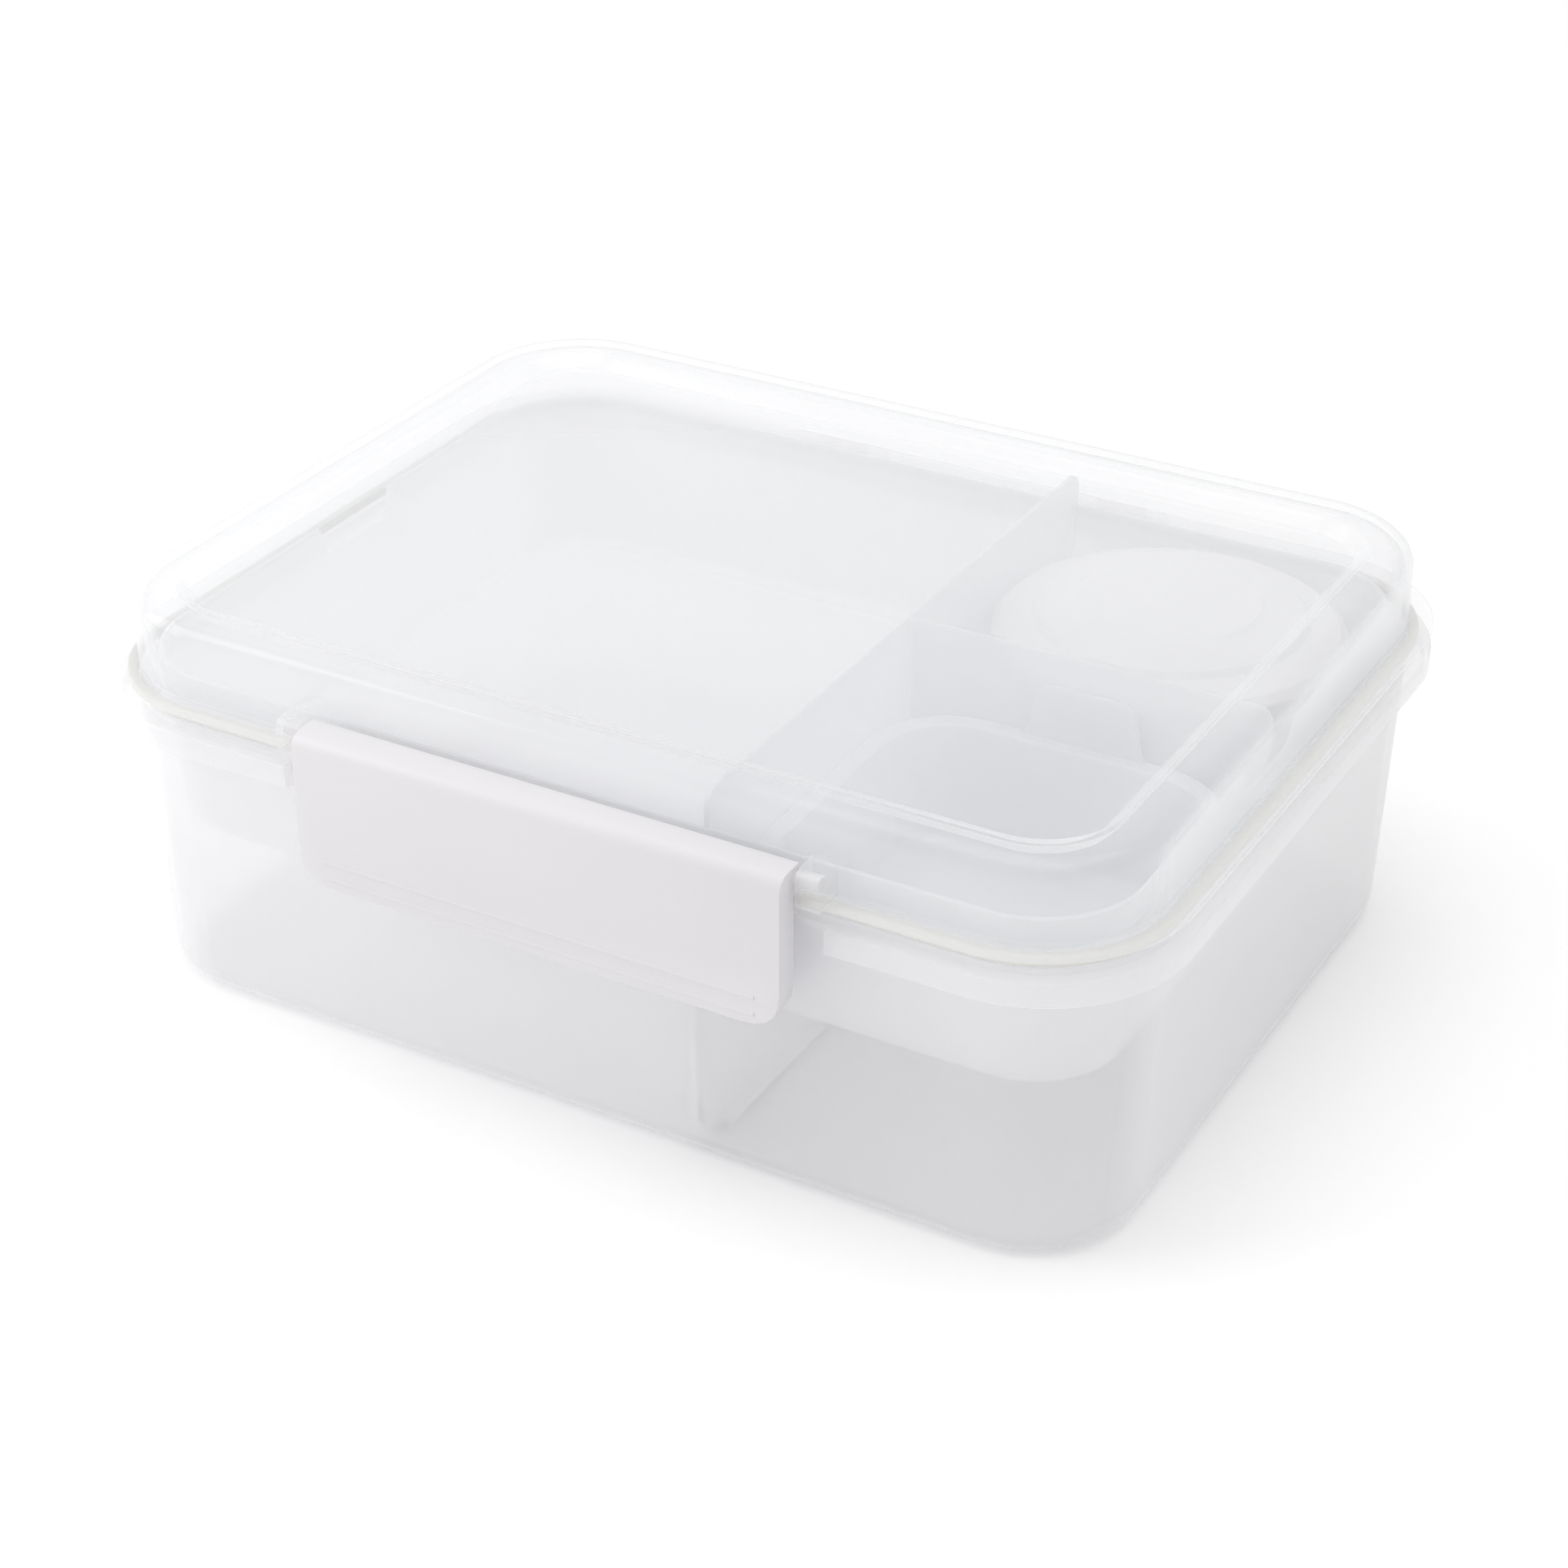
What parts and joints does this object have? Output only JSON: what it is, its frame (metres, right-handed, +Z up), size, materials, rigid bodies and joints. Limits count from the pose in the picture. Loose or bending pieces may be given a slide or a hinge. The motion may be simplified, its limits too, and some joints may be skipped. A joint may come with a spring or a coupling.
{
  "type": "lunch box",
  "caption": "Rectangular compartment lunch box: clear hinged lid with a swing clip over a frosted base holding a divider, tray, snack cup and lidded pot.",
  "frame": {"origin": "on the surface it stands on, under the middle of the base", "axes": "+X along the long side towards the two small compartments, +Y towards the back hinge, +Z up"},
  "size_m": [0.235, 0.1903, 0.0866],
  "materials": {
    "frosted_base": "frosted translucent polypropylene, satin",
    "frosted_insert": "frosted translucent polypropylene, matte",
    "clear_lid": "clear moulded plastic, glossy",
    "silicone": "cream silicone, matte",
    "clip_plastic": "opaque moulded plastic, satin"
  },
  "bodies": {
    "base": {"base_container": "frosted_base"},
    "divider": {"base_divider": "frosted_insert"},
    "tray": {"inner_tray": "frosted_insert"},
    "cup": {"snack_cup": "frosted_insert"},
    "pot": {"pot": "frosted_base"},
    "pot_lid": {"pot_lid": "frosted_insert"},
    "lid": {"lid": "clear_lid", "lid_seal": "silicone"},
    "front_clip": {"front_clip": "clip_plastic"}
  },
  "joints": [
    {"name": "lid_swing", "type": "hinge", "parent": "base", "child": "lid", "pos_m": [0, 0.0925, 0.066], "axis": [-1, 0, 0], "range_deg": [0, 110]},
    {"name": "clip_swing", "type": "hinge", "parent": "lid", "child": "front_clip", "pos_m": [0, -0.0886, 0.0742], "axis": [-1, 0, 0], "range_deg": [0, 110]},
    {"name": "tray_lift", "type": "slide", "parent": "base", "child": "tray", "axis": [0, 0, 1], "range_m": [0, 0.015]},
    {"name": "divider_lift", "type": "slide", "parent": "base", "child": "divider", "axis": [0, 0, 1], "range_m": [0, 0.008]},
    {"name": "cup_lift", "type": "slide", "parent": "tray", "child": "cup", "axis": [0, 0, 1], "range_m": [0, 0.047]},
    {"name": "pot_lift", "type": "slide", "parent": "tray", "child": "pot", "axis": [0, 0, 1], "range_m": [0, 0.024]},
    {"name": "pot_lid_lift", "type": "slide", "parent": "pot", "child": "pot_lid", "axis": [0, 0, 1], "range_m": [0, 0.01]}
  ],
  "couplings": [
    {"joint": "tray_lift", "follows": "lid_swing", "m_per_rad": 0.0075},
    {"joint": "divider_lift", "follows": "lid_swing", "m_per_rad": 0.004},
    {"joint": "cup_lift", "follows": "lid_swing", "m_per_rad": 0.024},
    {"joint": "pot_lift", "follows": "lid_swing", "m_per_rad": 0.012},
    {"joint": "pot_lid_lift", "follows": "lid_swing", "m_per_rad": 0.005}
  ]
}
